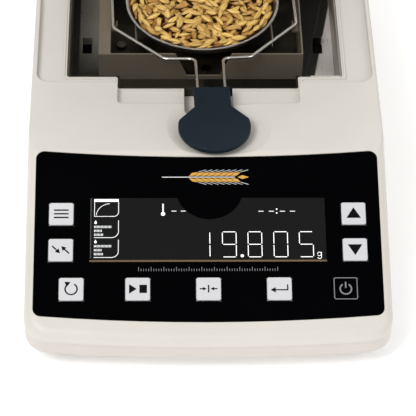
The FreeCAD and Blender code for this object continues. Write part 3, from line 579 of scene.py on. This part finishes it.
def panel_print():
    """A plain ear of grain above the display and a fine graduated rule under it, in place of any name."""
    line = 17.8
    stalk = Print(level=MARK_LEVEL)
    ear = Print(level=MARK_LEVEL)
    stalk.stroke([(-27.0, line), (16.6, line)], 0.5)
    for step in range(8):
        start = -11.0 + step * 3.6
        for side in (-1, 1):
            stalk.stroke([(start + 5.8, line + side * 3.4), (start + 10.4, line + side * 4.9)], THIN_LINE)
            ear.shape([(start, line + side * 0.5), (start + 2.0, line + side * 2.8),
                       (start + 5.8, line + side * 3.4), (start + 3.8, line + side * 1.2)])
    ear.shape([(18.2, line), (21.0, line - 1.3), (25.0, line), (21.0, line + 1.3)])
    stalk.make("panel_stalk", print_white, "housing")
    ear.make("panel_ear", print_gold, "housing")
    rule = Print(level=MARK_LEVEL)
    for step in range(56):
        across = -41.0 + step * 1.48
        tall = 2.6 if step % 5 == 0 else 1.5
        rule.bar(across, RULE_FOOT - tall, across + 0.34, RULE_FOOT)
    rule.make("panel_rule", print_grey, "housing")


# ---------------------------------------------------------------- key marks

def arrow(marks, start, end, width, head):
    """A straight arrow with a filled head at its end."""
    along = (Vector(end) - Vector(start)).normalized()
    side = Vector((-along.y, along.x))
    neck = Vector(end) - along * head
    marks.stroke([start, tuple(neck)], width)
    marks.shape([end, tuple(neck + side * head * 0.55), tuple(neck - side * head * 0.55)])


def mark_menu(marks):
    for down in (-2.4, 0, 2.4):
        marks.bar(-4.3, down - 0.45, 4.3, down + 0.45)


def mark_arrows(marks):
    arrow(marks, (-5.0, -2.5), (-0.3, 2.2), 0.85, 2.8)
    arrow(marks, (5.0, 2.3), (0.3, -2.4), 0.85, 2.8)


def mark_up(marks):
    marks.shape([(0, -3.9), (4.3, 3.0), (-4.3, 3.0)])


def mark_down(marks):
    marks.shape([(0, 3.7), (-4.3, -3.2), (4.3, -3.2)])


def mark_reset(marks):
    marks.stroke(arc((0, 0), 3.5, -60, 230, 22), 0.85)
    marks.shape([(-3.9, -4.6), (-0.4, -4.4), (-2.6, -1.3)])


def mark_start_stop(marks):
    marks.shape([(-5.0, -3.0), (-0.6, 0), (-5.0, 3.0)])
    marks.bar(1.0, -2.6, 5.4, 2.6)


def mark_tare(marks):
    arrow(marks, (-5.2, 0), (-1.2, 0), 0.7, 2.0)
    arrow(marks, (5.2, 0), (1.2, 0), 0.7, 2.0)
    marks.bar(-0.4, -2.4, 0.4, 2.4)


def mark_enter(marks):
    marks.stroke([(4.8, -2.6), (4.8, 0.8), (-2.6, 0.8)], 0.75)
    marks.shape([(-5.2, 0.8), (-2.2, -0.9), (-2.2, 2.5)])


def mark_power(marks):
    marks.stroke(arc((0, 0.3), 3.3, -58, 238, 22), 0.85)
    marks.stroke([(0, -4.1), (0, -0.3)], 0.85)


KEY_MARKS = {
    "key_menu": mark_menu,
    "key_arrows": mark_arrows,
    "key_up": mark_up,
    "key_down": mark_down,
    "key_reset": mark_reset,
    "key_start_stop": mark_start_stop,
    "key_tare": mark_tare,
    "key_enter": mark_enter,
    "key_power": mark_power,
}


def key_marks():
    """A mark on each key, and a line round the power key, which is black."""
    for key, draw in KEY_MARKS.items():
        marks = Print(KEY_PLACES[key], KEY_TOP)
        draw(marks)
        marks.make(key + "_mark", print_grey if key == "key_power" else print_black, key + "_cap")
    rim = Print(KEY_PLACES["key_power"], KEY_TOP)
    inner = KEY_FACE - KEY_CORNER
    corners = []
    for across, down, start in ((1, -1, -90), (1, 1, 0), (-1, 1, 90), (-1, -1, 180)):
        corners += arc((across * inner, down * inner), KEY_CORNER, start, start + 90, 5)
    rim.stroke(corners + corners[:1], 0.5)
    rim.make("key_power_rim", print_grey, "key_power_cap")


# ---------------------------------------------------------------- grain

# Each layer: kernels at most, least distance apart and lift in millimetres, tip in degrees, and a mean tone
# that is lower for the lower layers, as painted shade.
KERNEL_LAYERS = [(160, 4.9, -1.9, 10, 0.22), (180, 5.0, -0.5, 14, 0.58), (145, 5.8, 1.1, 15, 0.88)]
HEAP_CROWN = 1.5 * MM
KERNEL_HALF_THICK = 1.4 * MM
BED_STEPS = 48
BED_THICK = 2.2 * MM


def kernel_shape(rng, rings=9, sides=10):
    """One kernel along x: a pointed, ribbed spindle with a crease below and a slight bend."""
    length = rng.uniform(10.0, 13.2) * MM
    width = rng.uniform(3.7, 4.7) * MM
    thick = width * rng.uniform(0.6, 0.78)
    bend = rng.uniform(-0.3, 0.3) * MM
    points = [Vector((-length / 2, 0, 0))]
    along = [0.0]
    ribs = [0]
    for ring in range(1, rings):
        share = ring / rings
        swell = math.sin(math.pi * share ** 0.86) ** 1.15
        for side in range(sides):
            turn = 2 * math.pi * side / sides
            crease = 1 - 0.22 * max(0.0, math.cos(turn + math.pi / 2)) ** 6
            ridge = 1 + (0.065 if side % 2 else -0.065)
            sideways = width / 2 * swell * math.cos(turn) * ridge + bend * math.sin(math.pi * share)
            upwards = thick / 2 * swell * math.sin(turn) * crease * ridge
            points.append(Vector((length * (share - 0.5), sideways, upwards)))
            along.append(share)
            ribs.append(side % 2)
    points.append(Vector((length * rng.uniform(0.5, 0.58), bend * 0.2, 0.1 * MM)))
    along.append(1.0)
    ribs.append(0)
    faces = [[0, 1 + (side + 1) % sides, 1 + side] for side in range(sides)]
    for ring in range(rings - 2):
        for side in range(sides):
            near = 1 + ring * sides
            far = near + sides
            follow = (side + 1) % sides
            faces.append([near + side, near + follow, far + follow, far + side])
    tip = len(points) - 1
    near = tip - sides
    faces += [[near + side, near + (side + 1) % sides, tip] for side in range(sides)]
    return points, faces, along, ribs


def scattered(rng, count, reach, gap):
    """Places in a disc, kept gap apart by dart throwing."""
    places = []
    for _ in range(count * 40):
        radius = reach * math.sqrt(rng.random())
        turn = rng.uniform(0, 2 * math.pi)
        spot = Vector((radius * math.cos(turn), radius * math.sin(turn)))
        if all((spot - other).length > gap for other in places):
            places.append(spot)
        if len(places) == count:
            break
    return places


def kernels():
    """Three rough layers of loose kernels, over the heaped solid that fills the pan."""
    rng = random.Random(7)
    vertices, faces, shades, alongs, ribs, rises = [], [], [], [], [], []
    for count, gap, lift, tip, tone_and_depth_shade in KERNEL_LAYERS:
        for spot in scattered(rng, count, FILL_RADIUS - 2.6 * MM, gap * MM):
            points, kernel_faces, along, rib = kernel_shape(rng)
            rim = spot.length / FILL_RADIUS
            crown = HEAP_CROWN * (1 - rim ** 2)
            yaw = rng.uniform(0, 2 * math.pi)
            if rim > 0.84:
                yaw = math.atan2(spot.y, spot.x) + math.pi / 2 + rng.uniform(-0.45, 0.45)
            turn = (Matrix.Rotation(yaw, 3, "Z") @ Matrix.Rotation(math.radians(rng.gauss(0, tip)), 3, "Y")
                    @ Matrix.Rotation(rng.uniform(0, 2 * math.pi), 3, "X"))
            place = Vector((pan_centre.x + spot.x, pan_centre.y + spot.y,
                            SURFACE_LEVEL + crown + (lift + rng.uniform(-0.5, 0.5)) * MM))
            first = len(vertices)
            turned = [turn @ point for point in points]
            vertices += [point + place for point in turned]
            # How high each point sits in its kernel, for the painted shade on its lower side.
            rises += [point.z / KERNEL_HALF_THICK for point in turned]
            faces += [[first + corner for corner in face] for face in kernel_faces]
            # Random tone about the layer's mean; the lower layers' lower mean is painted shade.
            shades += [min(1.0, max(0.0, rng.gauss(tone_and_depth_shade, 0.26)))] * len(points)
            alongs += along
            ribs += rib
    heap = piece("kernels", vertices, faces, husk, "filled_pan", smooth=True)
    for name, values in zip(KERNEL_ATTRIBUTES, (shades, alongs, ribs, rises)):
        attribute = heap.data.attributes.new(name, "FLOAT", "POINT")
        attribute.data.foreach_set("value", values)
    return heap


def grain_bed():
    """The dark, shadowed grain under the loose kernels."""
    rings = [(0.0, 0.9), (0.5, 0.6), (0.85, 0.0), (1.0, -0.8)]
    vertices = [pan_centre + Vector((0, 0, SURFACE_LEVEL + 0.2 * MM))]
    steps = BED_STEPS
    for share, lift in rings[1:]:
        for step in range(steps):
            turn = 2 * math.pi * step / steps
            radius = share * (FILL_RADIUS - 0.9 * MM)
            vertices.append(pan_centre + Vector((radius * math.cos(turn), radius * math.sin(turn),
                                                 SURFACE_LEVEL + (lift - 0.7) * MM)))
    faces = [[0, 1 + step, 1 + (step + 1) % steps] for step in range(steps)]
    for ring in range(len(rings) - 2):
        near = 1 + ring * steps
        far = near + steps
        faces += [[near + step, far + step, far + (step + 1) % steps, near + (step + 1) % steps]
                  for step in range(steps)]
    last = 1 + (len(rings) - 2) * steps
    foot = len(vertices)
    vertices += [vertex - Vector((0, 0, BED_THICK)) for vertex in vertices[last:last + steps]]
    faces += [[last + step, foot + step, foot + (step + 1) % steps, last + (step + 1) % steps]
              for step in range(steps)]
    faces.append([foot + step for step in range(steps)][::-1])
    return piece("grain_bed", vertices, faces, husk_shadow, "filled_pan", smooth=True)


# ---------------------------------------------------------------- stage, light and camera

LOOK_AT = (0, -0.05, 0.05)
CAMERA_OFFSET = Vector((-0.0308, -0.9575, 0.9005))      # from the middle of the panel's top edge
CAMERA_ANGLES = (44.73, 1.93, 1.258)                    # down, yaw and roll, in degrees
CAMERA_LENS = 189.5


def stage():
    """A plain pale floor."""
    floor_mesh = bpy.data.meshes.new("floor")
    reach = 3.0
    floor_mesh.from_pydata([(-reach, -reach, 0), (reach, -reach, 0), (reach, reach, 0), (-reach, reach, 0)],
                           [], [(0, 1, 2, 3)])
    floor = bpy.data.objects.new("floor", floor_mesh)
    graph = Graph("studio_floor", (0.93, 0.93, 0.93), 0.7)
    graph.shader.inputs["Emission Color"].default_value = (1, 1, 1, 1)
    graph.shader.inputs["Emission Strength"].default_value = 0.25
    graph.gloss(graph.spread(graph.noise(3, 2), 0.65, 0.75))
    floor_mesh.materials.append(graph.material)
    bpy.context.scene.collection.objects.link(floor)


def area_light(name, place, target, size, power):
    light = bpy.data.lights.new(name, "AREA")
    light.shape = "RECTANGLE"
    light.size, light.size_y = size
    light.energy = power
    obj = bpy.data.objects.new(name, light)
    obj.location = place
    obj.rotation_euler = (Vector(target) - Vector(place)).to_track_quat("-Z", "Y").to_euler()
    bpy.context.scene.collection.objects.link(obj)


def lights():
    """Soft studio light from the left, the right and behind, with a pale world round it."""
    world = bpy.data.worlds.new("studio")
    world.use_nodes = True
    background = world.node_tree.nodes["Background"]
    background.inputs["Color"].default_value = (1, 0.995, 0.985, 1)
    background.inputs["Strength"].default_value = 0.52
    bpy.context.scene.world = world
    area_light("key", (-0.9, -0.9, 1.6), LOOK_AT, size=(0.8, 0.8), power=20)
    area_light("fill", (1.3, -0.9, 1.1), LOOK_AT, size=(1.0, 1.0), power=7)
    area_light("back", (0.2, 1.4, 1.3), (0, 0, 0.05), size=(1.6, 0.8), power=8)


def camera():
    """The camera, in front of the panel and above it, with a long lens."""
    place = PANEL_CORNER + CAMERA_OFFSET
    down, yaw, roll = (math.radians(angle) for angle in CAMERA_ANGLES)
    forward = Vector((math.sin(yaw) * math.cos(down), math.cos(yaw) * math.cos(down), -math.sin(down)))
    level = Vector((math.cos(yaw), -math.sin(yaw), 0))
    upright = level.cross(forward)
    right = level * math.cos(roll) + upright * math.sin(roll)
    up = upright * math.cos(roll) - level * math.sin(roll)
    data = bpy.data.cameras.new("camera")
    data.lens = CAMERA_LENS
    data.sensor_width = 36
    data.clip_start = 0.01
    obj = bpy.data.objects.new("camera", data)
    turn = Matrix((right, up, -forward)).transposed().to_4x4()
    obj.matrix_world = Matrix.Translation(place) @ turn
    bpy.context.scene.collection.objects.link(obj)
    bpy.context.scene.camera = obj
    bpy.context.scene.view_settings.view_transform = "Standard"


camera()
stage()
lights()
display_marks()
display_column()
display_masks()
panel_print()
key_marks()
heap = kernels()
bed = grain_bed()
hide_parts("grain_sample")
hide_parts("grain_sample")
